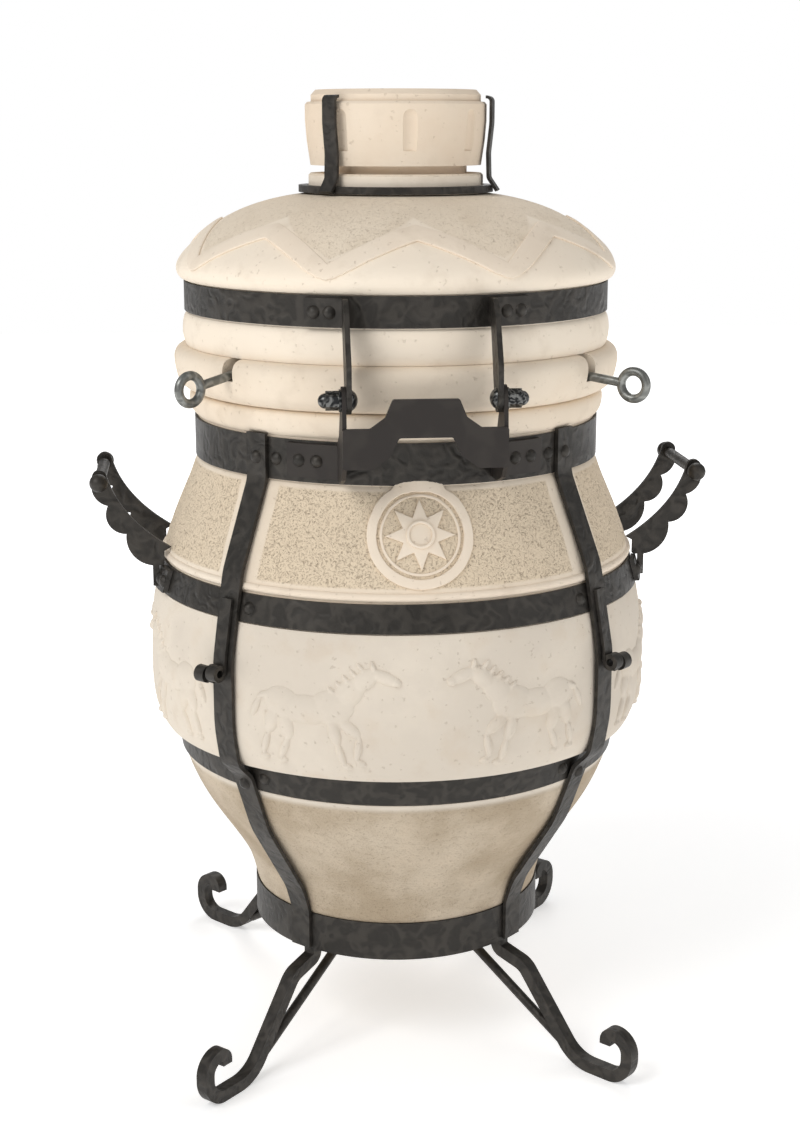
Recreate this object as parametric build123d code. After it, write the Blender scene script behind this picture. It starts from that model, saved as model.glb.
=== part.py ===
from build123d import *
import math
import os

# Clay oven with a hinged lid, millimetres. +Z is up and z = 0 is the floor.
# The origin is on the vessel's axis. The lid's hinge is on the -Y side.
# Azimuths are in degrees from the hinge side (-Y), growing towards +X.

# --- driving dimensions ---
FIT = 0.3                # gap between pieces that only lie against each other
BAND_T = 3.0             # thickness of the hoops
MOUTH_R = 165.0          # inner radius of the vessel's mouth
PARTING_Z = 751.0        # top of the rim, where the lid rests
CORNERS = (45.0, 135.0, -135.0, -45.0)   # azimuths of the straps
LEGS = (42.5, 137.5, -137.5, -42.5)      # azimuths of the legs

NECK_BAND = (635.5, 676.5, 213.6, 213.6)  # bottom z, top z, outer radius at bottom, at top
MID_BAND = (500.0, 527.0, 259.6, 252.4)
LOW_BAND = (318.0, 345.0, 236.6, 240.8)
LID_BAND = (787.0, 817.0, 221.8, 221.8)
RING_BOTTOM = 115.0
RING_TOP = 156.0
RING_R = 158.0
RING_T = 4.0

STRAP_W = 25.0
STRAP_T = 4.0
LEG_BAR = 13.0
BRACE_BAR = 10.0

HINGE_Y = -255.0
HINGE_Z = 725.0
ARM_X = 70.5             # middle plane of each hinge arm
ARM_T = 5.0
EAR_T = 4.0
BOLT_R = 5.0
STOP_Y = -275.0          # outer face of the stop plate

SMOKE_R = 70.0           # smoke hole in the lid
COLLAR_R = 90.5
COLLAR_TOP = 925.0
CAP_R = 93.6
CAP_BOTTOM = 933.0
CAP_TOP = 1008.0

ROD_R = 4.5
ROD_AZ = 50.6
ROD_Z = {"left": 745.4, "right": 736.0}   # the rods cross one above the other
ROD_DROOP = {"left": 10.0, "right": 6.0}
ROD_BEND = 172.0         # distance from the axis where each rod starts to droop
RING_CENTRE = 280.0      # distance from the axis to the middle of a rod's ring
NOTCH_W = 15.0

HANDLE_X = 318.0         # crossbar of each side handle
HANDLE_Z = 616.0
HANDLE_HALF = 55.0       # middle plane of each handle plate, from the handle's middle
PLATE_T = 5.0

EYE_R = 8.5              # rolled eyes of the tool hooks
EYE_BORE = 4.0
EYE_W = 12.0
EYE_STEP = 16.0          # sideways from the first eye to the second
EYE_Z = (449.0, 446.0)   # heights of the two eyes

VENT_Z = 222.0
VENT_R = 30.0


def turned(shape, azimuth):
    """Turns a piece modelled in the +X radial plane to an azimuth from the hinge side."""
    return Rot(0, 0, azimuth - 90) * shape


def revolved(edges):
    """Revolves a closed outline of (radius, height) about the axis."""
    return revolve(Plane.XZ * make_face(edges), Axis.Z, 360)


def write(name, shape):
    export_step(shape, f"parts/{name}.step")


def group(pieces):
    return Compound(children=[solid for piece in pieces for solid in piece.solids()])


def hoop(bottom, top, r_bottom, r_top, thickness):
    outline = Polyline(
        (r_bottom - thickness, bottom),
        (r_bottom, bottom),
        (r_top, top),
        (r_top - thickness, top),
        close=True,
    )
    return revolved(outline)


def shifted(points, distance):
    """Moves an open chain of (x, z) points sideways, to the left of its direction."""
    moved = []
    for index, point in enumerate(points):
        here = Vector(*point)
        before = here - Vector(*points[index - 1]) if index else None
        after = Vector(*points[index + 1]) - here if index + 1 < len(points) else None
        into = (before or after).normalized()
        out = (after or before).normalized()
        side = Vector(-into.Y, into.X) + Vector(-out.Y, out.X)
        scale = 2 * distance / (side.length**2)
        moved.append((here.X + side.X * scale, here.Y + side.Y * scale))
    return moved


def bent_bar(points, radii, low, high, width):
    """Flat or square bar bent in the XZ plane, with faces low and high to the left of its line."""
    sides = []
    for distance in (low, high):
        bends = []
        for index, radius in enumerate(radii, 1):
            into = Vector(*points[index]) - Vector(*points[index - 1])
            out = Vector(*points[index + 1]) - Vector(*points[index])
            turn = into.X * out.Y - into.Y * out.X
            bends.append(radius - distance if turn > 0 else radius + distance)
        sides.append(FilletPolyline(*shifted(points, distance), radius=bends))
    near, far = sides
    outline = Curve() + [near, far, Line(near @ 0, far @ 0), Line(near @ 1, far @ 1)]
    return extrude(Plane.XZ * make_face(outline), width / 2, both=True)


def button(radius, height):
    """Round head whose flat back lies on X = 0, rising along +X."""
    ball_r = (radius**2 + height**2) / (2 * height)
    cut = math.degrees(math.asin(1 - height / ball_r))
    ball = Sphere(ball_r, arc_size1=cut, arc_size2=90, align=None)
    return Rot(0, 90, 0) * (Pos(0, 0, height - ball_r) * ball)


def rivet(radius_at, z, azimuth, lean=0.0):
    """Round rivet head with its flat back on a surface at the given radius."""
    return turned(Pos(radius_at, 0, z) * Rot(0, lean, 0) * button(6.5, 4.0), azimuth)


# --- clay vessel ---
def band_inner(band, z, gap=FIT):
    """Clay radius behind a hoop at a height."""
    bottom, top, r_bottom, r_top = band
    share = (z - bottom) / (top - bottom)
    return r_bottom + (r_top - r_bottom) * share - BAND_T - gap


def vessel_outline():
    inner_top = (MOUTH_R, PARTING_Z)
    rim = Spline((221.0, PARTING_Z), (232.6, 728.0), (212.5, 704.5), tangents=((1, -0.1), (-1, -0.25)))
    bulge = Spline((212.5, 704.5), (218.3, 692.0), (210.3, 678.5), tangents=((1, -0.2), (-1, -0.6)))
    neck = band_inner(NECK_BAND, 650)
    shoulder = Spline(
        (neck, 634.0),
        (217.5, 619.0),
        (232.0, 585.0),
        (245.0, 551.0),
        (250.4, 531.0),
        tangents=((0.9, -1), (0.15, -1)),
    )
    belly = Spline(
        (258.4, 498.5),
        (265.8, 428.0),
        (254.0, 349.0),
        tangents=((0.3, -1), (-0.7, -1)),
    )
    lower = Spline(
        (234.4, 316.5),
        (215.0, 270.0),
        (188.0, 228.0),
        (165.0, 188.0),
        (156.2, RING_TOP + 0.2),
        tangents=((-0.3, -1), (-0.25, -1)),
    )
    cavity = Spline(
        (112.0, 165.0),
        (165.0, 258.0),
        (216.0, 420.0),
        (207.0, 520.0),
        (170.0, 640.0),
        (MOUTH_R, 690.0),
        tangents=((0.5, 1), (0, 1)),
    )
    seat = RING_R - RING_T - 0.6
    return Curve() + [
        Line(inner_top, rim @ 0),
        rim,
        bulge,
        Line(bulge @ 1, (neck, 677.5)),
        Line((neck, 677.5), shoulder @ 0),
        shoulder,
        Polyline(
            shoulder @ 1,
            (band_inner(MID_BAND, 528.5), 528.5),
            (band_inner(MID_BAND, 498.5), 498.5),
            belly @ 0,
        ),
        belly,
        Polyline(
            belly @ 1,
            (band_inner(LOW_BAND, 346.5), 346.5),
            (band_inner(LOW_BAND, 316.5), 316.5),
            lower @ 0,
        ),
        lower,
        Polyline(lower @ 1, (seat, RING_TOP + 0.2), (seat, 120.0), (0, 120.0), (0, 165.0), cavity @ 0),
        cavity,
        Line(cavity @ 1, inner_top),
    ]


def rod_path(side):
    """Height of a rod's middle line at a distance from the axis, on its ring side."""
    z = ROD_Z[side]
    slope = math.tan(math.radians(ROD_DROOP[side]))
    return lambda distance: z - max(0.0, distance - ROD_BEND) * slope


def rod_notch(side, azimuth, outward):
    """Cutter for a notch in the rim under a rod."""
    height = rod_path(side)
    floor = ROD_R + 0.3
    if outward:
        points = [(r, height(r) - floor) for r in (100.0, ROD_BEND, 300.0)]
    else:
        points = [(100.0, ROD_Z[side] - floor), (300.0, ROD_Z[side] - floor)]
    points += [(300.0, 800.0), (100.0, 800.0)]
    block = extrude(Plane.XZ * make_face(Polyline(*points, close=True)), NOTCH_W / 2, both=True)
    return turned(block, azimuth)


def vent_cone(radius, start_y, end_y, growth):
    """Tapered round plug shape along +Y."""
    cone = Cone(radius, radius + growth, end_y - start_y)
    return Pos(0, (start_y + end_y) / 2, VENT_Z) * Rot(-90, 0, 0) * cone


def vessel():
    body = revolved(vessel_outline())
    body -= rod_notch("left", -ROD_AZ, True)
    body -= rod_notch("left", 180 - ROD_AZ, False)
    body -= rod_notch("right", ROD_AZ, True)
    body -= rod_notch("right", ROD_AZ - 180, False)
    return body - vent_cone(VENT_R, 100.0, 230.0, 6.0)


# --- forged frame ---
STRAP_LINE = (
    (NECK_BAND[3] + FIT, 680.0),
    (NECK_BAND[3] + FIT, 633.0),
    (251.5, 545.0),
    (267.8, 456.0),
    (267.8, 390.0),
    (261.0, 352.0),
    (243.0, 334.0),
    (218.5, 268.0),
    (167.5, 187.0),
    (RING_R + FIT, 160.0),
    (RING_R + FIT, 117.0),
)
STRAP_BENDS = (30, 80, 150, 150, 22, 22, 100, 60, 30)


def strap():
    """Flat bar bent over the hoops, with its inner face just clear of them."""
    return bent_bar(STRAP_LINE, STRAP_BENDS, 0, STRAP_T, STRAP_W)


def strap_face(z):
    """Outer face of a strap at a height on one of its straight runs: radius and lean."""
    for (r_top, top), (r_low, low) in zip(STRAP_LINE, STRAP_LINE[1:]):
        if low <= z <= top:
            lean = math.atan2(r_low - r_top, top - low)
            radius = r_low + (r_top - r_low) * (z - low) / (top - low)
            return radius + STRAP_T / math.cos(lean), -math.degrees(lean)
    return None


def leg(bar=LEG_BAR):
    """Scroll leg: square bar out from under the ring, down to the floor and curled up."""
    half = LEG_BAR / 2
    points = (
        (150.0, RING_BOTTOM - 0.2),
        (150.0, 103.0),
        (186.0, 93.5),
        (256.0, half),
        (323.5, half),
        (323.5, 53.0),
        (296.5, 53.0),
        (296.5, 40.0),
    )
    return bent_bar(points, (8, 22, 44, 23, 18, 8.8), -bar / 2, bar / 2, bar)


def brace():
    """Round bar from under the vessel's floor down to a leg; the four meet at the axis."""
    level = 114.6
    path = Plane.XZ * FilletPolyline((0.0, level), (80.0, level), (238.0, 21.0), radius=40)
    start = Plane(origin=path @ 0, z_dir=path % 0)
    bar = sweep(start * Circle(BRACE_BAR / 2), path=path)
    sector = make_face(Polyline((0.3, 0), (300.3, 260.0), (300.3, -260.0), close=True))
    return (bar & extrude(sector, 200.0)) - leg(LEG_BAR + 0.4)


# --- side handles ---
def handle_plate():
    """Scalloped plate in the XZ plane, from the mid hoop up to the crossbar."""
    inner = Spline((246.5, 545.0), (284.0, 575.0), (311.0, 624.0), tangents=((1, 0.6), (0.25, 1)))
    outline = Curve() + [
        inner,
        ThreePointArc((311.0, 624.0), (320.5, 627.0), (325.0, 617.0)),
        ThreePointArc((325.0, 617.0), (324.0, 601.0), (310.0, 590.0)),
        ThreePointArc((310.0, 590.0), (309.0, 569.0), (292.0, 560.0)),
        ThreePointArc((292.0, 560.0), (282.0, 533.0), (253.6, 527.0)),
        Line((253.6, 527.0), (253.6, 541.0)),
        Line((253.6, 541.0), (246.5, 545.0)),
    ]
    return extrude(Plane.XZ * make_face(outline), PLATE_T / 2, both=True)


def handle_flange(side):
    """Bent foot of a handle plate, riveted to the mid hoop. Side is +1 or -1 along Y."""
    z = 513.5
    radius = MID_BAND[2] + (MID_BAND[3] - MID_BAND[2]) * (z - MID_BAND[0]) / (MID_BAND[1] - MID_BAND[0])
    ring = hoop(
        z - 11,
        z + 12,
        radius + 3.5 + PLATE_T,
        radius - 2.6 + PLATE_T,
        PLATE_T,
    )
    start = HANDLE_HALF - PLATE_T / 2
    wedge = Pos(250.0, side * (start + 15.0), z) * Box(120, 30, 60)
    return ring & wedge


def handle_side(azimuth):
    """Two plates, the crossbar and its end balls of one side handle."""
    tangent = math.asin(HANDLE_HALF / MID_BAND[2])
    drop = MID_BAND[2] * (1 - math.cos(tangent))
    pieces = []
    for side in (1, -1):
        plate = Pos(-drop + 1.0, side * HANDLE_HALF, 0) * handle_plate()
        foot = Pos(246.0, side * HANDLE_HALF, 519.0) * Box(30, PLATE_T, 30)
        keep = hoop(500, 540, 270.0, 270.0, 9.6)
        plate = plate + (foot & keep) + handle_flange(side)
        bore = Pos(HANDLE_X - drop + 1, side * HANDLE_HALF, HANDLE_Z) * Rot(90, 0, 0) * Cylinder(6.1, 20)
        pieces.append(turned(plate - bore, azimuth))
    along = Pos(HANDLE_X - drop + 1, 0, HANDLE_Z) * Rot(90, 0, 0)
    bar = turned(along * Cylinder(6.0, 2 * HANDLE_HALF + 9), azimuth)
    balls = []
    for side in (1, -1):
        ball = Pos(HANDLE_X - drop + 1, side * (HANDLE_HALF + 12.2), HANDLE_Z) * Sphere(9.5)
        cut = Pos(HANDLE_X - drop + 1, 0, HANDLE_Z) * Box(40, 2 * HANDLE_HALF + 9.2, 40)
        balls.append(turned(ball - cut, azimuth))
    return pieces, bar, balls


# --- tool hooks ---
def tool_hook(side):
    """Tongue over a strap with two rolled eyes. Side is +1 or -1 along the tangent."""
    face = STRAP_LINE[3][0] + STRAP_T
    eye_x = face + 0.6 + EYE_R
    points = (
        (strap_face(521.0)[0] + FIT, 521.0),
        (face + FIT - 0.5, 462.0),
        (face + 0.6, EYE_Z[0]),
    )
    hook = bent_bar(points, (60,), 0, 3.5, 14.0)
    bores = []
    for shift, z in ((0.0, EYE_Z[0]), (side * EYE_STEP, EYE_Z[1])):
        place = Pos(eye_x, shift, z) * Rot(90, 0, 0)
        hook += place * Cylinder(EYE_R, EYE_W)
        bores.append(place * Cylinder(EYE_BORE, EYE_W + 0.4))
    hook += Pos(eye_x, side * EYE_STEP / 2, 441.2) * Rot(90, 0, 0) * Cylinder(2.8, EYE_W)
    return hook - bores[0] - bores[1]


# --- lid ---
def dome_outline():
    band_r = LID_BAND[3] - BAND_T - FIT
    bottom = PARTING_Z + FIT
    lower = Spline((220.6, bottom), (223.6, 772.0), (band_r, 785.6), tangents=((0.5, 1), (-1, 0.9)))
    dome = Spline(
        (band_r + 2.0, 818.3),
        (227.4, 822.8),
        (229.4, 830.0),
        (224.4, 842.0),
        (212.0, 855.0),
        (196.0, 868.5),
        (166.0, 886.2),
        (128.0, 898.8),
        (COLLAR_R, 905.0),
    )
    inner = Spline(
        (SMOKE_R, 874.0),
        (120.0, 858.0),
        (172.0, 812.0),
        (178.0, bottom),
        tangents=((1, 0), (0, -1)),
    )
    return Curve() + [
        Line((178.0, bottom), lower @ 0),
        lower,
        Polyline(lower @ 1, (band_r, 818.3), dome @ 0),
        dome,
        Polyline(
            dome @ 1,
            (COLLAR_R, COLLAR_TOP - 2),
            (COLLAR_R - 2, COLLAR_TOP),
            (SMOKE_R + 4, COLLAR_TOP),
            (SMOKE_R, 900.0),
            inner @ 0,
        ),
        inner,
    ]


def cap():
    """Clay stopper with a tapered plug, a stepped top and upright finger flutes."""
    outline = Polyline(
        (0, 902.0),
        (69.6, 902.0),
        (73.5, COLLAR_TOP),
        (73.5, CAP_BOTTOM),
        (88.3, CAP_BOTTOM),
        (92.0, 958.0),
        (CAP_R, 978.0),
        (CAP_R, 993.5),
        (91.5, 996.0),
        (87.5, 996.5),
        (87.5, 1003.0),
        (83.0, CAP_TOP),
        (0, CAP_TOP),
        close=True,
    )
    body = revolved(outline)
    for index in range(8):
        flute = Pos(99.0, 0, 964.0) * Rot(0, 5, 0) * Cylinder(10.0, 34.0)
        flute += Pos(100.4, 0, 981.0) * Sphere(10.0)
        body -= turned(flute, index * 45.0 + 3.0)
    return body


def cap_ring():
    return hoop(906.0, 913.0, 101.0, 101.0, 101.0 - COLLAR_R - 1.0)


def cap_strap():
    """Upright strip of the cap's cage, flared at the foot and curled in at the tip."""
    points = (
        (105.5, 906.6),
        (96.2, 920.0),
        (95.4, 945.0),
        (98.6, 975.0),
        (98.6, 999.2),
        (94.6, 999.2),
    )
    return bent_bar(points, (8, 40, 60, 3.2), 0, -3.0, 17.0)


# --- hinge ---
def arc_plate(band_r, bottom, top, start, end):
    """Piece of a flat bar bent over a hoop, between two azimuths."""
    ring = hoop(bottom, top, band_r + FIT + EAR_T, band_r + FIT + EAR_T, EAR_T)
    wedge = Polyline(
        (0, 0),
        (400 * math.sin(math.radians(start)), -400 * math.cos(math.radians(start))),
        (400 * math.sin(math.radians(end)), -400 * math.cos(math.radians(end))),
        close=True,
    )
    return ring & (Pos(0, 0, bottom) * extrude(make_face(wedge), top - bottom))


def pivot_bore(radius):
    return Pos(0, HINGE_Y, HINGE_Z) * Rot(0, 90, 0) * Cylinder(radius, 300)


def plate_yz(points, x, thickness):
    """Flat plate in a YZ plane through the given (y, z) corners, rounded at the pivot."""
    face = make_face(Polyline(*points, close=True))
    plate = extrude(Plane.YZ * face, thickness / 2, both=True)
    eye = Pos(0, HINGE_Y, HINGE_Z) * Rot(0, 90, 0) * Cylinder(13.0, thickness)
    return Pos(x, 0, 0) * (plate + eye)


def hinge_arm(side):
    """Lid arm with its flange on the lid hoop. Side is +1 or -1 along X."""
    points = (
        (-209.0, 788.0),
        (-209.0, 815.0),
        (-228.0, 815.0),
        (-241.0, 804.0),
        (-266.4, 757.0),
        (-267.8, 729.0),
        (-243.0, 720.0),
        (-229.0, 757.0),
        (-218.0, 787.0),
    )
    plate = plate_yz(points, side * ARM_X, ARM_T)
    plate -= hoop(700, 900, LID_BAND[2] + FIT, LID_BAND[2] + FIT, 60)
    start = math.degrees(math.asin((ARM_X - ARM_T / 2) / (LID_BAND[2] + 4)))
    flange = arc_plate(LID_BAND[2], 788.0, 815.0, side * start, side * 28.5)
    return plate + flange - pivot_bore(BOLT_R + 0.05)


def hinge_ear(side):
    """Ear of the fixed bracket with its tab on the neck hoop."""
    points = (
        (-199.0, 641.0),
        (-199.0, 674.0),
        (-225.0, 687.0),
        (-243.0, 720.0),
        (-267.8, 727.0),
        (STOP_Y + EAR_T, 700.0),
        (STOP_Y + EAR_T, 664.0),
        (-256.0, 650.0),
        (-225.0, 641.0),
    )
    x = ARM_X + ARM_T / 2 + FIT + EAR_T / 2
    plate = plate_yz(points, side * x, EAR_T)
    plate -= hoop(600, 800, NECK_BAND[2] + FIT, NECK_BAND[2] + FIT, 60)
    start = math.degrees(math.asin((x - EAR_T / 2) / (NECK_BAND[2] + 4)))
    tab = arc_plate(NECK_BAND[2], 641.0, 674.0, side * start, side * 35.0)
    return plate + tab - pivot_bore(BOLT_R + 0.05)


def stop_plate():
    """Hat-shaped plate between the ears that stops the open lid's arms."""
    half = ARM_X + ARM_T / 2 + FIT + EAR_T
    points = []
    for side in (1, -1):
        edge = [(half, 663.0), (half, 701.0), (52.0, 701.0), (38.0, 711.0), (31.0, 728.0)]
        points += [(side * x, z) for x, z in (edge if side > 0 else reversed(edge))]
    points += [(-50.0, 663.0), (-34.0, 674.0), (-25.0, 692.0), (25.0, 692.0), (34.0, 674.0), (50.0, 663.0)]
    face = make_face(Polyline(*points, close=True))
    body = Pos(0, STOP_Y + EAR_T, 0) * extrude(Plane.XZ * face, EAR_T)
    return fillet(body.edges().filter_by(Axis.Y), 3.0)


def along_pivot(shape, x):
    return Pos(x, HINGE_Y, HINGE_Z) * Rot(0, 90, 0) * shape


def hinge_bolt(side):
    """Carriage bolt: round head inside the arm, shank out through arm, ear and nuts."""
    inner = ARM_X - ARM_T / 2 - FIT
    shank = along_pivot(Cylinder(BOLT_R, 27.0), side * (inner + 13.5))
    turn = Rot(0, 0, 180 if side > 0 else 0)
    return shank + Pos(side * inner, HINGE_Y, HINGE_Z) * turn * button(10.0, 6.0)


def hinge_washer(side):
    x = ARM_X + ARM_T / 2 + FIT + EAR_T + 0.2
    return along_pivot(Cylinder(10.5, 1.8) - Cylinder(BOLT_R + 0.1, 4), side * (x + 0.9))


def hexagon(size, height):
    return extrude(RegularPolygon(size / 2, 6, major_radius=False), height / 2, both=True)


def hinge_nut(side):
    x = ARM_X + ARM_T / 2 + FIT + EAR_T + 2.2
    return along_pivot(hexagon(16.0, 6.0) - Cylinder(BOLT_R + 0.1, 20), side * (x + 3.0))


def cap_nut(side):
    x = ARM_X + ARM_T / 2 + FIT + EAR_T + 8.4
    base = Pos(0, 0, 3.0) * hexagon(16.0, 6.0)
    dome = Pos(0, 0, 6.0) * Sphere(7.2)
    shape = base + dome - Pos(0, 0, 4.0) * Cylinder(BOLT_R + 0.1, 12)
    return Pos(side * x, HINGE_Y, HINGE_Z) * Rot(0, 90 * side, 0) * shape


# --- rods, vent plug and grate ---
def rod(side):
    """Straight rod across the mouth that droops outside the rim and ends in a ring."""
    height = rod_path(side)
    ring_r = 13.5
    inner_end = RING_CENTRE - ring_r
    points = [(-226.0, ROD_Z[side]), (ROD_BEND, ROD_Z[side]), (inner_end, height(inner_end))]
    path = Plane.XZ * FilletPolyline(*points, radius=60)
    start = Plane(origin=path @ 0, z_dir=path % 0)
    bar = sweep(start * Circle(ROD_R), path=path)
    eye = Pos(RING_CENTRE, 0, height(RING_CENTRE)) * Rot(90, 0, 0) * Torus(ring_r, ROD_R)
    return bar + eye


def vent_plug():
    """Tapered clay plug for the air hole, with a round knob outside."""
    plug = vent_cone(VENT_R - 0.6, 116.0, 197.0, 3.5)
    stem = Pos(0, 203.0, VENT_Z) * Rot(90, 0, 0) * Cylinder(8.0, 16.0)
    return plug + stem + Pos(0, 214.0, VENT_Z) * Sphere(13.0)


def fire_grate():
    """Cast grate resting on the tapering wall above the air hole."""
    disc = Pos(0, 0, 262.0) * Cylinder(154.0, 8.0)
    slots = []
    for x in range(-112, 113, 28):
        length = 2 * math.sqrt(140.0**2 - x**2) - 24
        slots.append(Pos(x, 0, 262.0) * Box(12.0, length, 20))
    return disc - Compound(children=slots)


# --- write every piece ---
def strap_rivets():
    """Two rivets at each crossing of a strap and a hoop: one on each."""
    heads = []
    for azimuth in CORNERS:
        inward = -1 if 0 < azimuth < 90 or azimuth < -90 else 1
        for bottom, top, r_bottom, r_top in (NECK_BAND, MID_BAND, LOW_BAND):
            middle = (bottom + top) / 2
            radius = (r_bottom + r_top) / 2
            lean = math.degrees(math.atan2(r_top - r_bottom, top - bottom))
            aside = azimuth + inward * math.degrees(22.0 / radius)
            heads.append(rivet(radius, middle, aside, lean))
            height = middle - 8 if top == LOW_BAND[1] else middle
            face, slope = strap_face(height)
            if abs(azimuth) > 90 or top != MID_BAND[1]:
                heads.append(rivet(face + 0.2, height, azimuth, slope))
    return heads


def handle_rivets():
    z = 513.5
    share = (z - MID_BAND[0]) / (MID_BAND[1] - MID_BAND[0])
    radius = MID_BAND[2] + (MID_BAND[3] - MID_BAND[2]) * share + 0.6 + PLATE_T
    offsets = [side * math.degrees(math.asin(y / radius)) for y in (64.0, 76.0) for side in (1, -1)]
    return [rivet(radius + 0.05, z, handle + offset, -14.9) for handle in (90, -90) for offset in offsets]


def plate_rivets(radius, z, azimuths):
    return [rivet(radius, z, side * azimuth) for azimuth in azimuths for side in (1, -1)]


def main():
    os.makedirs("parts", exist_ok=True)
    write("vessel", vessel())
    for name, band in (("neck_band", NECK_BAND), ("mid_band", MID_BAND), ("low_band", LOW_BAND)):
        write(name, hoop(*band, BAND_T))
    write("base_ring", hoop(RING_BOTTOM, RING_TOP, RING_R, RING_R, RING_T))
    for index, (azimuth, leg_azimuth) in enumerate(zip(CORNERS, LEGS), 1):
        write(f"strap_{index}", turned(strap(), azimuth))
        write(f"leg_{index}", turned(leg(), leg_azimuth))
        write(f"brace_{index}", turned(brace(), leg_azimuth))
    write("band_rivets", group(strap_rivets()))
    write("handle_rivets", group(handle_rivets()))
    write("bracket_rivets", group(plate_rivets(NECK_BAND[2] + FIT + EAR_T, 657.5, (26.5, 31.5))))
    write("lid_rivets", group(plate_rivets(LID_BAND[2] + FIT + EAR_T, 801.5, (22.0, 26.0))))
    for name, azimuth in (("right", 90.0), ("left", -90.0)):
        plates, bar, balls = handle_side(azimuth)
        write(f"handle_{name}_plate_1", plates[0])
        write(f"handle_{name}_plate_2", plates[1])
        write(f"handle_{name}_bar", bar)
        write(f"handle_{name}_balls", group(balls))
    write("tool_hook_right", turned(tool_hook(1), 45.0))
    write("tool_hook_left", turned(tool_hook(-1), -45.0))
    for name, side in (("right", 1), ("left", -1)):
        write(f"hinge_ear_{name}", hinge_ear(side))
        write(f"hinge_arm_{name}", hinge_arm(side))
        write(f"rod_{name}", turned(rod(name), side * ROD_AZ))
    write("hinge_stop_plate", stop_plate())
    write("hinge_bolts", group(hinge_bolt(side) for side in (1, -1)))
    write("hinge_washers", group(hinge_washer(side) for side in (1, -1)))
    write("hinge_nuts", group(hinge_nut(side) for side in (1, -1)))
    write("hinge_cap_nuts", group(cap_nut(side) for side in (1, -1)))
    write("fire_grate", fire_grate())
    write("vent_plug", vent_plug())
    write("lid_dome", revolved(dome_outline()))
    write("lid_band", hoop(*LID_BAND, BAND_T))
    write("cap", cap())
    write("cap_ring", cap_ring())
    for index, azimuth in enumerate((-47.0, 73.0, 193.0), 1):
        write(f"cap_strap_{index}", turned(cap_strap(), azimuth))


main()
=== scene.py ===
# %% [markdown]
# # A clay oven in a forged frame
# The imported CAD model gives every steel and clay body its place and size. This lesson dresses
# it: clay relief is modelled on top of the clay, and every surface gets a procedural finish.

# %% Load the frame
import bpy
import math
from mathutils import Matrix, Vector


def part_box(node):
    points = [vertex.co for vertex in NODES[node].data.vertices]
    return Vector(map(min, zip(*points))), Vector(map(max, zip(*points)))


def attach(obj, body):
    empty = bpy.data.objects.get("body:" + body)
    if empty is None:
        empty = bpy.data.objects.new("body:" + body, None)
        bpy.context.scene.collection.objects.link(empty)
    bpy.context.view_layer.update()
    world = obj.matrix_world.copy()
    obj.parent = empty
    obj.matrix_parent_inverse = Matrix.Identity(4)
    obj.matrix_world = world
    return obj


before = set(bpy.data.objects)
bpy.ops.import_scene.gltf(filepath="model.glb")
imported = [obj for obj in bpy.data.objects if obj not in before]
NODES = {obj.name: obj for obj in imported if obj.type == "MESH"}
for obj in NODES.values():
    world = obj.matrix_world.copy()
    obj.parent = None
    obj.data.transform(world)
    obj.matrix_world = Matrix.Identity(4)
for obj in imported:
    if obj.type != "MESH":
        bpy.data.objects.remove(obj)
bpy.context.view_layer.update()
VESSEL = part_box("vessel")
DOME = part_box("lid_dome")
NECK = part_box("neck_band")
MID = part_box("mid_band")
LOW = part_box("low_band")

# %% [markdown]
# ## Small helpers for shader graphs
# A finish is a graph of nodes. These helpers add one node and wire its inputs, so that each
# finish below reads as a short recipe instead of a page of link commands.

# %% Graph helpers
def add(tree, kind, inputs=None, **settings):
    node = tree.nodes.new(kind)
    for key, value in settings.items():
        setattr(node, key, value)
    for key, value in (inputs or {}).items():
        socket = node.inputs[key]
        if isinstance(value, bpy.types.NodeSocket):
            tree.links.new(value, socket)
        else:
            socket.default_value = value
    return node


def calc(tree, operation, a, b=0.0, c=0.0):
    node = add(tree, "ShaderNodeMath", operation=operation)
    for socket, value in zip(node.inputs, (a, b, c)):
        if isinstance(value, bpy.types.NodeSocket):
            tree.links.new(value, socket)
        else:
            socket.default_value = value
    return node.outputs[0]


def step_up(tree, value, low, high):
    """0 below low, 1 above high, smooth between."""
    limits = {"Value": value, "From Min": low, "From Max": high}
    return add(tree, "ShaderNodeMapRange", limits, interpolation_type="SMOOTHSTEP").outputs[0]


def mix(tree, share, a, b):
    """Blends colour a towards colour b by a share."""
    return add(tree, "ShaderNodeMix", {0: share, 6: a, 7: b}, data_type="RGBA").outputs[2]


def noise(tree, where, scale, detail=4.0, roughness=0.55):
    return add(tree, "ShaderNodeTexNoise",
               {"Vector": where, "Scale": scale, "Detail": detail, "Roughness": roughness}).outputs["Fac"]


def srgb(red, green, blue):
    """Scene colour of an 8-bit screen colour."""
    return tuple(((c / 255 + 0.055) / 1.055) ** 2.4 for c in (red, green, blue)) + (1.0,)


def group_tree(name, inputs, outputs):
    tree = bpy.data.node_groups.new(name, "ShaderNodeTree")
    for label, kind, default in inputs:
        socket = tree.interface.new_socket(label, in_out="INPUT", socket_type=kind)
        if default is not None:
            socket.default_value = default
    for label, kind in outputs:
        tree.interface.new_socket(label, in_out="OUTPUT", socket_type=kind)
    enter = tree.nodes.new("NodeGroupInput")
    leave = tree.nodes.new("NodeGroupOutput")
    return tree, enter, leave


def use_group(tree, group, inputs):
    node = tree.nodes.new("ShaderNodeGroup")
    node.node_tree = group
    for key, value in inputs.items():
        if isinstance(value, bpy.types.NodeSocket):
            tree.links.new(value, node.inputs[key])
        else:
            node.inputs[key].default_value = value
    return node


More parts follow.
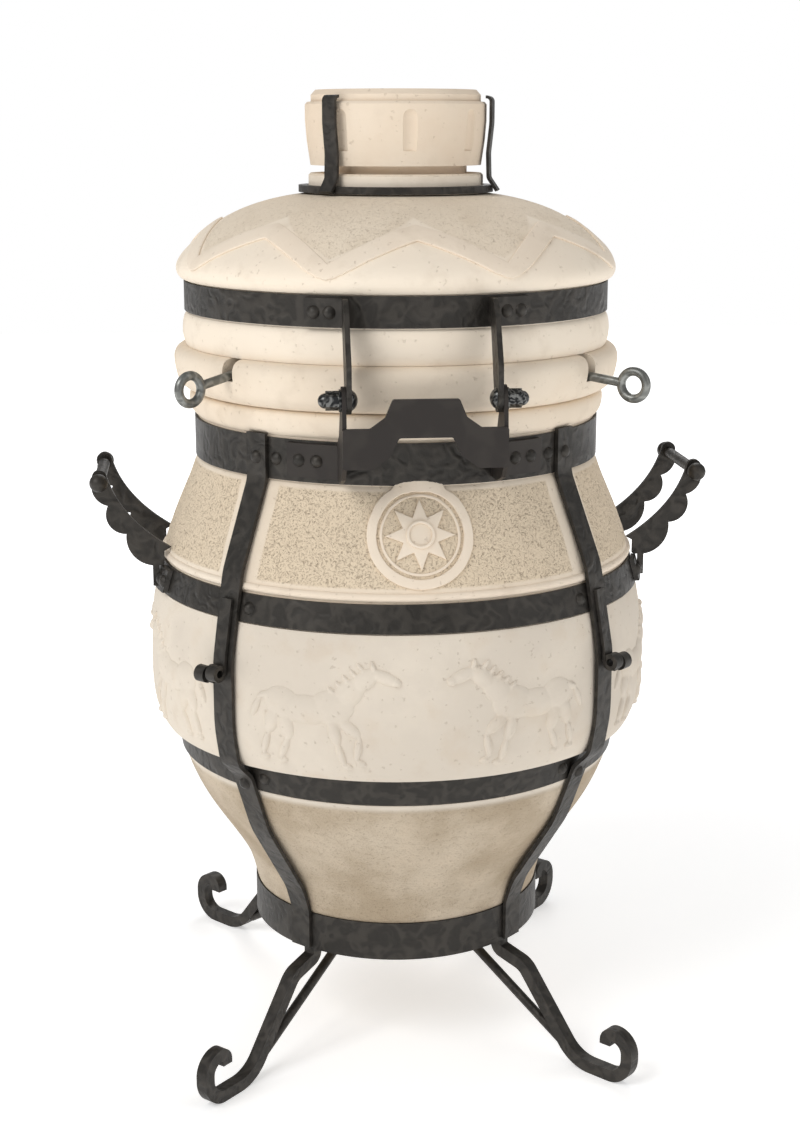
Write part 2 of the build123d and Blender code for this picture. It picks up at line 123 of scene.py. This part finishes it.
def new_material(name):
    material = bpy.data.materials.new(name)
    material.use_nodes = True
    tree = material.node_tree
    shader = next(n for n in tree.nodes if n.type == "BSDF_PRINCIPLED")
    where = tree.nodes.new("ShaderNodeTexCoord").outputs["Object"]
    return material, tree, shader, where


# %% [markdown]
# ## Shared finishes
# Fired clay is pale with darker specks, small pits and soft blotches. The pits and the specks
# come from the same noise, so a dark speck always sits in a hollow; the specks and grains are the clay's
# own colour, while the darkening in the pits is painted shade. The rough share lets one
# group serve both the smooth and the stamped, grainy clay.

# %% Clay group
def clay_group():
    tree, enter, leave = group_tree(
        "fired clay",
        (("Where", "NodeSocketVector", None), ("Base", "NodeSocketColor", (0.7, 0.6, 0.48, 1)),
         ("Rough share", "NodeSocketFloat", 0.0)),
        (("Color", "NodeSocketColor"), ("Height", "NodeSocketFloat")),
    )
    where, base, rough = (enter.outputs[i] for i in range(3))
    blotch = noise(tree, where, 7.0, 5.0, 0.6)
    cloud = noise(tree, where, 28.0, 4.0)
    grain = noise(tree, where, 420.0, 3.0, 0.7)
    specks = noise(tree, where, 190.0, 2.0, 0.5)
    crumbs = noise(tree, where, 620.0, 3.0, 0.7)
    pits = noise(tree, where, 340.0, 2.0, 0.6)
    lighter = mix(tree, 0.45, base, srgb(240, 229, 212))
    pale = mix(tree, step_up(tree, blotch, 0.38, 0.66), base, lighter)
    tone = mix(tree, calc(tree, "MULTIPLY", step_up(tree, cloud, 0.5, 0.72), 0.22), pale, srgb(190, 168, 142))
    tone = mix(tree, calc(tree, "MULTIPLY", rough, 0.75), tone, srgb(220, 201, 173))
    dots = step_up(tree, specks, 0.66, 0.74)
    grains = calc(tree, "MULTIPLY", step_up(tree, crumbs, 0.52, 0.68), 0.4)
    # The pits are dented and also darkened: their darkening is painted shade in the hollows.
    pits_dented_and_shaded = calc(tree, "MULTIPLY", step_up(tree, pits, 0.60, 0.70), 0.8)
    grains_and_shaded_pits = calc(tree, "MULTIPLY", calc(tree, "MAXIMUM", grains, pits_dented_and_shaded), rough)
    # Dark marks: the clay's own specks and grains, plus painted shade in the pits.
    specks_grains_and_pit_shade = calc(tree, "MAXIMUM", calc(tree, "MULTIPLY", dots, 0.2), calc(tree, "MULTIPLY", grains_and_shaded_pits, 0.6))
    color = mix(tree, specks_grains_and_pit_shade, tone, srgb(140, 116, 92))
    height = calc(tree, "MULTIPLY", grain, 0.12)
    height = calc(tree, "SUBTRACT", height, calc(tree, "MULTIPLY", dots, 0.25))
    height = calc(tree, "SUBTRACT", height, calc(tree, "MULTIPLY", grains_and_shaded_pits, 1.0))
    height = calc(tree, "ADD", height, calc(tree, "MULTIPLY", cloud, 0.6))
    tree.links.new(color, leave.inputs["Color"])
    tree.links.new(height, leave.inputs["Height"])
    return tree


CLAY = clay_group()


# %% [markdown]
# ## Where the clay is stamped rough
# The oven is round, so the masks are written in turns about its axis. The azimuth comes from
# the arc tangent of X and -Y, and a triangle wave of it, eight to the turn, follows the zigzag
# on the lid. The strap distance is the arc length to the nearest of the four straps.

# %% Round coordinates
def round_group():
    tree, enter, leave = group_tree(
        "round coordinates",
        (("Where", "NodeSocketVector", None),),
        (("Height z", "NodeSocketFloat"), ("Eighth wave", "NodeSocketFloat"),
         ("Strap distance", "NodeSocketFloat"), ("Radius", "NodeSocketFloat")),
    )
    split = add(tree, "ShaderNodeSeparateXYZ", {0: enter.outputs[0]})
    x, y, z = split.outputs
    turn = calc(tree, "DIVIDE", calc(tree, "ARCTAN2", x, calc(tree, "MULTIPLY", y, -1.0)), 2 * math.pi)
    squares = calc(tree, "ADD", calc(tree, "MULTIPLY", x, x), calc(tree, "MULTIPLY", y, y))
    radius = calc(tree, "SQRT", squares)
    eighth = calc(tree, "FRACT", calc(tree, "ADD", calc(tree, "MULTIPLY", turn, 8.0), 8.5))
    from_peak = calc(tree, "ABSOLUTE", calc(tree, "SUBTRACT", eighth, 0.5))
    wave = calc(tree, "SUBTRACT", 1.0, calc(tree, "MULTIPLY", from_peak, 4.0))
    quarter = calc(tree, "FRACT", calc(tree, "ADD", calc(tree, "MULTIPLY", turn, 4.0), 4.0))
    away = calc(tree, "ABSOLUTE", calc(tree, "SUBTRACT", quarter, 0.5))
    arc = calc(tree, "MULTIPLY", calc(tree, "MULTIPLY", away, math.pi / 2), radius)
    for name, value in (("Height z", z), ("Eighth wave", wave), ("Strap distance", arc), ("Radius", radius)):
        tree.links.new(value, leave.inputs[name])
    return tree


ROUND = round_group()
VALLEY_SHARE, PEAK_SHARE = 0.557, 0.764
ZIG_LOW = DOME[0][2] + VALLEY_SHARE * (DOME[1][2] - DOME[0][2])
ZIG_HIGH = DOME[0][2] + PEAK_SHARE * (DOME[1][2] - DOME[0][2])
print("zigzag between", round(ZIG_LOW, 3), round(ZIG_HIGH, 3))

# %% [markdown]
# ## Clay materials
# The lid is smooth below the zigzag and stamped rough above it. The vessel has rough panels on
# the shoulder between the straps, a smooth grey-cream belly and a trowelled lower body.

# %% Lid clay
def finish_clay(tree, shader, look, extra_height, distance=0.0016):
    tree.links.new(look.outputs["Color"], shader.inputs["Base Color"])
    height = calc(tree, "ADD", look.outputs["Height"], extra_height)
    bump = add(tree, "ShaderNodeBump", {"Height": height, "Strength": 0.85, "Distance": distance})
    tree.links.new(bump.outputs[0], shader.inputs["Normal"])
    shader.inputs["Roughness"].default_value = 0.82
    shader.inputs["Specular IOR Level"].default_value = 0.35


def lid_clay():
    material, tree, shader, where = new_material("lid clay")
    place = use_group(tree, ROUND, {"Where": where})
    z = place.outputs["Height z"]
    middle = (ZIG_LOW + ZIG_HIGH) / 2
    swing = calc(tree, "MULTIPLY", place.outputs["Eighth wave"], (ZIG_HIGH - ZIG_LOW) / 2)
    edge = calc(tree, "ADD", middle, swing)
    above = calc(tree, "SUBTRACT", z, edge)
    facing = add(tree, "ShaderNodeSeparateXYZ", {0: where.node.outputs["Normal"]}).outputs[2]
    outside = step_up(tree, facing, 0.0, 0.1)
    stamped = step_up(tree, above, 0.001, 0.004)
    rough = calc(tree, "MULTIPLY", stamped, calc(tree, "MULTIPLY", outside, 0.45))
    look = use_group(tree, CLAY, {"Where": where, "Base": srgb(239, 225, 206), "Rough share": rough})
    finish_clay(tree, shader, look, 0.0)
    return material


BELLY_TONE = (214, 203, 188)


def vessel_clay():
    material, tree, shader, where = new_material("vessel clay")
    place = use_group(tree, ROUND, {"Where": where})
    z = place.outputs["Height z"]
    shoulder_low = MID[1][2] + 0.013
    shoulder_high = NECK[0][2] - 0.005
    inside = calc(tree, "MULTIPLY", step_up(tree, z, shoulder_low, shoulder_low + 0.003),
                  step_up(tree, calc(tree, "SUBTRACT", shoulder_high, z), 0.0, 0.003))
    clear = step_up(tree, place.outputs["Strap distance"], 0.024, 0.027)
    outside = step_up(tree, place.outputs["Radius"], 0.209, 0.213)
    rough = calc(tree, "MULTIPLY", calc(tree, "MULTIPLY", inside, clear), outside)
    belly = calc(tree, "SUBTRACT", 1.0, step_up(tree, z, MID[0][2] - 0.002, MID[0][2]))
    lower = calc(tree, "SUBTRACT", 1.0, step_up(tree, z, LOW[0][2] - 0.012, LOW[0][2] - 0.004))
    base = mix(tree, belly, srgb(230, 214, 193), srgb(*BELLY_TONE))
    base = mix(tree, lower, base, srgb(150, 133, 111))
    stamped = calc(tree, "MAXIMUM", rough, calc(tree, "MULTIPLY", lower, 0.4))
    look = use_group(tree, CLAY, {"Where": where, "Base": base, "Rough share": stamped})
    stretched = add(tree, "ShaderNodeMapping", {"Vector": where, "Scale": (14.0, 14.0, 60.0)}).outputs[0]
    trowel = calc(tree, "MULTIPLY", noise(tree, stretched, 1.0, 3.0), calc(tree, "MULTIPLY", lower, 2.2))
    finish_clay(tree, shader, look, trowel)
    return material


def plain_clay(name, tone):
    material, tree, shader, where = new_material(name)
    look = use_group(tree, CLAY, {"Where": where, "Base": srgb(*tone), "Rough share": 0.0})
    finish_clay(tree, shader, look, 0.0)
    return material


LID_CLAY = lid_clay()
VESSEL_CLAY = vessel_clay()
CAP_CLAY = plain_clay("cap clay", (226, 208, 186))
RELIEF_CLAY = plain_clay("relief clay", (233, 217, 197))
BELLY_CLAY = plain_clay("belly relief clay", BELLY_TONE)

# %% [markdown]
# ## Steel materials
# The frame is hot-forged bar, blackened and oiled: near black, with broad hammer facets that
# catch soft lights. The rods are dull zinc, and the bolts are black oxide with worn rims.

# %% Hammered steel
def hammer_group():
    tree, enter, leave = group_tree(
        "hammered surface",
        (("Where", "NodeSocketVector", None), ("Facet scale", "NodeSocketFloat", 70.0)),
        (("Height", "NodeSocketFloat"), ("Wear", "NodeSocketFloat"), ("Dirt", "NodeSocketFloat")),
    )
    where, scale = enter.outputs[0], enter.outputs[1]
    drift = add(tree, "ShaderNodeTexNoise", {"Vector": where, "Scale": 30.0}).outputs["Color"]
    warped = mix(tree, 0.06, where, drift)
    cells = add(tree, "ShaderNodeTexVoronoi", {"Vector": warped, "Scale": scale}, feature="SMOOTH_F1")
    dents = cells.outputs["Distance"]
    fine = noise(tree, where, 650.0, 3.0, 0.7)
    height = calc(tree, "ADD", dents, calc(tree, "MULTIPLY", fine, 0.18))
    patches = calc(tree, "MULTIPLY", noise(tree, where, 55.0), 0.25)
    wear = step_up(tree, calc(tree, "SUBTRACT", dents, patches), 0.18, 0.5)
    tree.links.new(height, leave.inputs["Height"])
    tree.links.new(wear, leave.inputs["Wear"])
    tree.links.new(noise(tree, where, 22.0, 6.0, 0.65), leave.inputs["Dirt"])
    return tree


HAMMER = hammer_group()


def steel(name, specks_grains_and_pit_shade, light, facet, depth, rough, metallic=0.85):
    material, tree, shader, where = new_material(name)
    look = use_group(tree, HAMMER, {"Where": where, "Facet scale": facet})
    color = mix(tree, look.outputs["Wear"], srgb(*specks_grains_and_pit_shade), srgb(*light))
    dust = step_up(tree, look.outputs["Dirt"], 0.5, 0.72)
    color = mix(tree, calc(tree, "MULTIPLY", dust, 0.12), color, srgb(66, 59, 52))
    tree.links.new(color, shader.inputs["Base Color"])
    shader.inputs["Metallic"].default_value = metallic
    spread = calc(tree, "ADD", rough, calc(tree, "MULTIPLY", look.outputs["Dirt"], 0.1))
    tree.links.new(spread, shader.inputs["Roughness"])
    bump = add(tree, "ShaderNodeBump", {"Height": look.outputs["Height"], "Strength": 0.7, "Distance": depth})
    tree.links.new(bump.outputs[0], shader.inputs["Normal"])
    return material


FORGED = steel("blackened forged steel", (46, 43, 39), (62, 58, 53), 95.0, 0.0016, 0.42, 0.45)
PLATE = steel("blackened plate", (44, 39, 36), (52, 47, 43), 40.0, 0.0003, 0.46, 0.4)
ZINC = steel("dull zinc", (118, 119, 116), (150, 151, 147), 160.0, 0.0004, 0.36)
BOLT = steel("black oxide", (40, 41, 42), (120, 120, 118), 300.0, 0.0001, 0.26)
IRON = steel("cast iron", (30, 29, 28), (50, 47, 44), 220.0, 0.0004, 0.5)

# %% Give each CAD node its finish
CLAY_NODES = {"vessel": VESSEL_CLAY, "lid_dome": LID_CLAY, "cap": CAP_CLAY, "vent_plug": CAP_CLAY}
PLATES = ("hinge_stop_plate", "hinge_ear_left", "hinge_ear_right")


def finish_for(name):
    if name in CLAY_NODES:
        return CLAY_NODES[name]
    if name.startswith("rod_"):
        return ZINC
    if name == "fire_grate":
        return IRON
    if name in ("hinge_bolts", "hinge_washers", "hinge_nuts", "hinge_cap_nuts"):
        return BOLT
    return PLATE if name in PLATES else FORGED


for name, node in NODES.items():
    node.data.materials.clear()
    node.data.materials.append(finish_for(name))
print("finishes on", len(NODES), "nodes")

# %% [markdown]
# ## Modelled clay relief
# Relief stands on the clay as thin pieces of its own. Each starts as a simple ring or disc, is
# cut to its outline, pressed onto the clay with Shrinkwrap and given thickness with Solidify.
# A small bevel rounds the edges, as fingers and a wet sponge do.

# %% Relief helpers
def fresh():
    """Leaves edit mode and deselects everything."""
    if bpy.context.object and bpy.context.object.mode != "OBJECT":
        bpy.ops.object.mode_set(mode="OBJECT")
    bpy.ops.object.select_all(action="DESELECT")


def only(piece):
    fresh()
    piece.select_set(True)
    bpy.context.view_layer.objects.active = piece


def apply_all(piece):
    only(piece)
    for modifier in list(piece.modifiers):
        bpy.ops.object.modifier_apply(modifier=modifier.name)


def settle(piece, name):
    """Puts the place of a piece into its mesh and names it."""
    only(piece)
    bpy.ops.object.transform_apply(location=True, rotation=True, scale=True)
    piece.name = name
    return piece


SINK = 0.0006            # how far relief starts below the clay's surface
CORNER = math.radians(50)


def press_on(piece, target, height, width):
    """Shrinkwraps a flat piece onto the clay, thickens it outwards and rounds its edges."""
    wrap = piece.modifiers.new("press", "SHRINKWRAP")
    wrap.target = NODES[target]
    wrap.wrap_method = "NEAREST_SURFACEPOINT"
    wrap.wrap_mode = "ABOVE_SURFACE"
    wrap.offset = -SINK
    apply_all(piece)
    only(piece)
    bpy.ops.object.mode_set(mode="EDIT")
    bpy.ops.mesh.select_all(action="SELECT")
    bpy.ops.mesh.remove_doubles(threshold=0.0001)
    bpy.ops.mesh.normals_make_consistent(inside=False)
    bpy.ops.object.mode_set(mode="OBJECT")
    if outward_share(piece) < 0:
        bpy.ops.object.mode_set(mode="EDIT")
        bpy.ops.mesh.select_all(action="SELECT")
        bpy.ops.mesh.flip_normals()
        bpy.ops.object.mode_set(mode="OBJECT")
    thick = piece.modifiers.new("thick", "SOLIDIFY")
    thick.thickness = height
    thick.offset = 1.0
    soft = piece.modifiers.new("soft", "BEVEL")
    soft.width = width
    soft.segments = 3
    soft.limit_method = "ANGLE"
    soft.angle_limit = CORNER
    apply_all(piece)
    bpy.ops.object.shade_smooth_by_angle(angle=CORNER)


def outward_share(piece):
    """Positive when the faces look away from the oven's axis or upwards."""
    faces = piece.data.polygons
    return sum(f.normal.x * f.center.x + f.normal.y * f.center.y + f.normal.z * 0.1 for f in faces)


def clay_piece(piece, name, body, material=RELIEF_CLAY):
    """Names a finished piece, gives it its clay and lets it ride on a body."""
    settle(piece, name)
    piece.data.materials.clear()
    piece.data.materials.append(material)
    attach(piece, body)
    print(name, len(piece.data.polygons), "faces")
    return piece


# %% [markdown]
# The zigzag on the lid is a ring of sixteen corners. Every second corner is pulled down and
# out to where the dome is lower, and the ring is then drawn out into a ribbon.

# %% Zigzag ribbon
def node_radius(name, height, reach):
    points = [v.co for v in NODES[name].data.vertices]
    return max(math.hypot(p.x, p.y) for p in points if abs(p.z - height) < reach)


def dome_radius(height):
    """Outer radius of the dome near a height, read from the CAD mesh."""
    return node_radius("lid_dome", height, 0.006)


def zigzag(name, low, high, drop, height):
    """Ribbon round the lid whose upper edge runs between the heights low and high."""
    fresh()
    top_r, low_r = dome_radius(high), dome_radius(low)
    bpy.ops.mesh.primitive_circle_add(vertices=16, radius=top_r, location=(0, 0, high))
    ring = bpy.context.object
    bpy.ops.object.transform_apply(location=True)
    for vertex in ring.data.vertices:
        turn = math.atan2(vertex.co.x, -vertex.co.y) / (2 * math.pi) * 8
        vertex.select = abs(turn - round(turn)) > 0.25
    for edge in ring.data.edges:
        edge.select = False
    bpy.ops.object.mode_set(mode="EDIT")
    bpy.ops.mesh.select_mode(type="VERT")
    bpy.ops.transform.resize(value=(low_r / top_r, low_r / top_r, 1), center_override=(0, 0, high))
    bpy.ops.transform.translate(value=(0, 0, low - high))
    bpy.ops.mesh.select_all(action="SELECT")
    bpy.ops.mesh.subdivide(number_cuts=11)
    bpy.ops.mesh.extrude_edges_move(TRANSFORM_OT_translate={"value": (0, 0, -drop)})
    grow = 1 + drop * 1.3 / top_r
    bpy.ops.transform.resize(value=(grow, grow, 1), center_override=(0, 0, high))
    bpy.ops.mesh.select_all(action="SELECT")
    bpy.ops.mesh.subdivide(number_cuts=1)
    bpy.ops.object.mode_set(mode="OBJECT")
    press_on(ring, "lid_dome", height, 0.0022)
    return clay_piece(ring, name, "lid")


RIBBON_WIDTH, RIBBON_HEIGHT = 0.0150, 0.0030
zigzag("lid_zigzag_band", ZIG_LOW, ZIG_HIGH, RIBBON_WIDTH, RIBBON_HEIGHT)

# %% [markdown]
# A round medallion sits in the middle of each large shoulder panel: a broad flat rim, a thin
# inner ring and an eight-pointed star with a raised centre. The star starts as a disc of
# sixteen corners, every second one drawn in, poked to a point in the middle.

# %% Medallions
MEDAL_Z = (MID[1][2] + NECK[0][2]) / 2 + 0.011
MEDAL_TILT = math.radians(19.0)


def vessel_radius(height):
    return node_radius("vessel", height, 0.008)


def stand_up(piece, azimuth):
    """Turns a flat piece lying in XY to face outwards on the shoulder at an azimuth."""
    only(piece)
    reach = vessel_radius(MEDAL_Z) + 0.004
    piece.location = (reach * math.sin(azimuth), -reach * math.cos(azimuth), MEDAL_Z)
    piece.rotation_euler = (math.pi / 2 - MEDAL_TILT, 0, azimuth)
    bpy.ops.object.transform_apply(location=True, rotation=True, scale=True)


def flat_ring(outer, inner, sides=72):
    """Flat ring lying in XY."""
    fresh()
    bpy.ops.mesh.primitive_circle_add(vertices=sides, radius=outer)
    ring = bpy.context.object
    bpy.ops.object.mode_set(mode="EDIT")
    bpy.ops.mesh.select_all(action="SELECT")
    bpy.ops.mesh.extrude_edges_move()
    bpy.ops.transform.resize(value=(inner / outer, inner / outer, 1), center_override=(0, 0, 0))
    bpy.ops.object.mode_set(mode="OBJECT")
    return ring


def star(outer, inner):
    """Flat eight-pointed star lying in XY."""
    fresh()
    bpy.ops.mesh.primitive_circle_add(vertices=16, radius=outer, fill_type="NGON")
    piece = bpy.context.object
    for vertex in piece.data.vertices:
        vertex.select = vertex.index % 2 == 1
    for part in list(piece.data.edges) + list(piece.data.polygons):
        part.select = False
    bpy.ops.object.mode_set(mode="EDIT")
    bpy.ops.mesh.select_mode(type="VERT")
    bpy.ops.transform.resize(value=(inner / outer, inner / outer, 1), center_override=(0, 0, 0))
    bpy.ops.mesh.select_all(action="SELECT")
    bpy.ops.mesh.poke()
    bpy.ops.mesh.subdivide(number_cuts=2)
    bpy.ops.object.mode_set(mode="OBJECT")
    return piece


def medallion(label, azimuth):
    parts = (("rim", flat_ring(0.0535, 0.0435), 0.0032), ("ring", flat_ring(0.0405, 0.0375), 0.0018),
             ("star", star(0.0350, 0.0185), 0.0030), ("boss", flat_ring(0.0140, 0.0110, 40), 0.0055))
    for kind, piece, height in parts:
        stand_up(piece, azimuth)
        press_on(piece, "vessel", height, 0.0010)
        clay_piece(piece, f"medallion_{label}_{kind}", "oven")


medallion("front", 0.0)
medallion("back", math.pi)

# %% [markdown]
# Two horses face each other on every belly panel. A horse is built as a sculptor would press
# it: flattened lumps for the trunk, neck and limbs are laid on the clay, run together with a
# voxel remesh and smoothed. Across and up are in millimetres from the middle of the panel.

# %% One horse from lumps
BELLY_Z = (MID[0][2] + LOW[1][2]) / 2
BELLY_R = VESSEL[1][0] - 0.002
BURIED = 0.35            # share of a lump's half depth that lies below the clay

# Each lump: across, up, half length, half width, and its slope in degrees.
TRUNK = ((38, 36, 16, 7, 23), (57, 33, 17, 10, -40), (73, 19, 18, 14, -40), (90, 4, 24, 19, -10),
         (116, 0, 28, 16, 0), (141, 4, 21, 18, 15), (49, 47, 6, 2.6, 70), (27, 31, 6, 5.5, 20))
LIMBS = ((72, -16, 14, 7, 39), (64, -37, 14, 4.4, -80), (61, -52, 6, 4.2, 20), (87, -22, 14, 7, 75),
         (81, -43, 14, 4.4, 75), (75, -56, 6, 4.2, 10), (137, -18, 16, 9, 75), (139, -41, 14, 4.6, -66),
         (142, -55, 6, 4.2, 0), (153, -15, 15, 9, -73), (160, -39, 14, 4.6, -72), (162, -54, 6, 4.2, 0))
HAIR = ((160, 10, 11, 4.2, -20), (171, -4, 13, 4.6, -65), (61, 45, 7, 2.4, 50), (68, 39, 7, 2.4, 48),
        (75, 33, 7, 2.4, 46), (82, 27, 7, 2.4, 44), (89, 21, 7, 2.4, 40))


def on_clay(azimuth, height):
    """Point and outward direction of the vessel's surface at an azimuth and height."""
    out = Vector((math.sin(azimuth), -math.cos(azimuth), 0))
    found, point, normal, face = NODES["vessel"].ray_cast(out * 0.6 + Vector((0, 0, height)), -out)
    return point, normal


def lump(across, up, length, width, angle, depth, hand):
    """Flattened ball on the clay; hand is +1 or -1 for the right or the mirrored horse."""
    azimuth = hand * across / 1000 / BELLY_R
    point, normal = on_clay(azimuth, BELLY_Z + up / 1000)
    side = Vector((math.cos(azimuth), math.sin(azimuth), 0))
    rise = normal.cross(side)
    lean = math.radians(hand * angle)
    along = side * math.cos(lean) + rise * math.sin(lean)
    turn = Matrix((along, normal.cross(along), normal)).transposed()
    fresh()
    bpy.ops.mesh.primitive_uv_sphere_add(
        segments=24, ring_count=12, radius=1, location=point - normal * depth * BURIED,
        rotation=turn.to_euler(), scale=(length / 1000, width / 1000, depth))
    return bpy.context.object


def horse_pair(name):
    """Both horses of the front panel as one piece."""
    lumps = []
    for hand in (1, -1):
        for shapes, depth in ((TRUNK, 0.0064), (LIMBS, 0.0058), (HAIR, 0.0042)):
            lumps += [lump(*shape, depth, hand) for shape in shapes]
    fresh()
    for piece in lumps:
        piece.select_set(True)
    bpy.context.view_layer.objects.active = lumps[0]
    bpy.ops.object.join()
    pair = bpy.context.object
    bpy.ops.object.transform_apply(location=True, rotation=True, scale=True)
    pair.data.remesh_voxel_size = 0.0012
    bpy.ops.object.voxel_remesh()
    soft = pair.modifiers.new("soft", "SMOOTH")
    soft.factor = 0.6
    soft.iterations = 5
    apply_all(pair)
    bpy.ops.object.shade_smooth()
    return clay_piece(pair, name, "oven", BELLY_CLAY)


front_pair = horse_pair("horses_front")

# %% The same pair on the other three panels
# The back pair is set 2 mm deeper, which keeps it within the belly's greatest radius.
for label, quarter, deeper in (("right", 1, 0), ("back", 2, 0.002), ("left", 3, 0)):
    only(front_pair)
    bpy.ops.object.duplicate()
    pair = bpy.context.object
    pair.rotation_euler = (0, 0, quarter * math.pi / 2)
    pair.location.y = -deeper
    clay_piece(pair, f"horses_{label}", "oven", BELLY_CLAY)

# %% [markdown]
# A rounded bead runs round the vessel just above the middle hoop and closes the rough panels
# off below. The bead is a ring with a round section, made with Spin.

# %% Bead above the middle hoop
def bead(name, height, thickness):
    """Round moulding about the vessel at a height; thickness is its section's radius."""
    fresh()
    radius = vessel_radius(height) - thickness * 0.45
    bpy.ops.mesh.primitive_circle_add(vertices=12, radius=thickness)
    ring = bpy.context.object
    bpy.ops.object.mode_set(mode="EDIT")
    bpy.ops.mesh.select_all(action="SELECT")
    bpy.ops.transform.rotate(value=math.pi / 2, orient_axis="X", center_override=(0, 0, 0))
    bpy.ops.transform.translate(value=(radius, 0, height))
    bpy.ops.mesh.spin(steps=120, angle=2 * math.pi, center=(0, 0, 0), axis=(0, 0, 1))
    bpy.ops.mesh.select_all(action="SELECT")
    bpy.ops.mesh.remove_doubles(threshold=0.00005)
    bpy.ops.mesh.normals_make_consistent(inside=False)
    bpy.ops.object.mode_set(mode="OBJECT")
    only(ring)
    bpy.ops.object.shade_smooth()
    return clay_piece(ring, name, "oven")


bead("shoulder_bead", MID[1][2] + 0.0065, 0.0042)

# %% [markdown]
# ## Floor, light and camera
# The pale floor glows more with distance, so it runs out to white without a horizon. One large
# soft light from the upper left, a weaker one from the right and one behind give the even light
# of a product picture. The surround is pure white to the camera and dimmer as a light.

# %% Stage
bpy.ops.object.select_all(action="DESELECT")
bpy.ops.mesh.primitive_plane_add(size=14.0, location=(0, 0, 0))
floor = bpy.context.object
floor.name = "studio_floor"
floor_material, floor_tree, floor_shader, floor_where = new_material("pale studio paper")
paper = noise(floor_tree, floor_where, 3.0)
paper_tone = mix(floor_tree, paper, srgb(250, 250, 250), srgb(246, 246, 246))
floor_tree.links.new(paper_tone, floor_shader.inputs["Base Color"])
floor_shader.inputs["Roughness"].default_value = 0.9
floor_shader.inputs["Specular IOR Level"].default_value = 0.1
floor_shader.inputs["Emission Color"].default_value = (1.0, 1.0, 1.0, 1.0)
reach = add(floor_tree, "ShaderNodeVectorMath", {0: floor_where}, operation="LENGTH").outputs["Value"]
glow = calc(floor_tree, "MULTIPLY_ADD", step_up(floor_tree, reach, 0.5, 2.6), 0.58, 0.42)
floor_tree.links.new(glow, floor_shader.inputs["Emission Strength"])
floor.data.materials.append(floor_material)

world = bpy.context.scene.world or bpy.data.worlds.new("studio")
bpy.context.scene.world = world
world.use_nodes = True
surround = next(n for n in world.node_tree.nodes if n.type == "BACKGROUND")
surround.inputs["Color"].default_value = (1.0, 1.0, 1.0, 1.0)
seen = world.node_tree.nodes.new("ShaderNodeLightPath").outputs["Is Camera Ray"]
SURROUND_LIGHT = 0.38
strength = calc(world.node_tree, "MULTIPLY_ADD", seen, 1.0 - SURROUND_LIGHT, SURROUND_LIGHT)
world.node_tree.links.new(strength, surround.inputs["Strength"])


def softbox(name, azimuth, height, distance, size, power):
    """Area light at an azimuth from the camera's side, aimed at the oven's middle."""
    angle = math.radians(azimuth)
    place = (distance * math.sin(angle), -distance * math.cos(angle), height)
    bpy.ops.object.light_add(type="AREA", location=place)
    lamp = bpy.context.object
    lamp.name = name
    lamp.data.size = size
    lamp.data.energy = power
    aim = lamp.location.copy()
    aim.z -= 0.55
    lamp.rotation_euler = aim.to_track_quat("Z", "Y").to_euler()
    return lamp


softbox("key_light", -50.0, 2.6, 2.6, 1.6, 46.0)
softbox("fill_light", 55.0, 1.8, 2.8, 2.0, 13.0)
softbox("back_light", 165.0, 2.6, 2.6, 1.6, 24.0)

# %% Camera
TURN = math.radians(-6.0)
DISTANCE = 1.94
PITCH = math.radians(13.4)
bpy.ops.object.camera_add(
    location=(DISTANCE * math.sin(TURN) + 0.0044, -DISTANCE * math.cos(TURN), 0.971),
    rotation=(math.pi / 2 - PITCH, 0.0, TURN),
)
camera = bpy.context.object
camera.name = "photo_camera"
camera.data.sensor_width = 36.0
camera.data.lens = 58.5
bpy.context.scene.camera = camera
bpy.context.scene.view_settings.view_transform = "Standard"
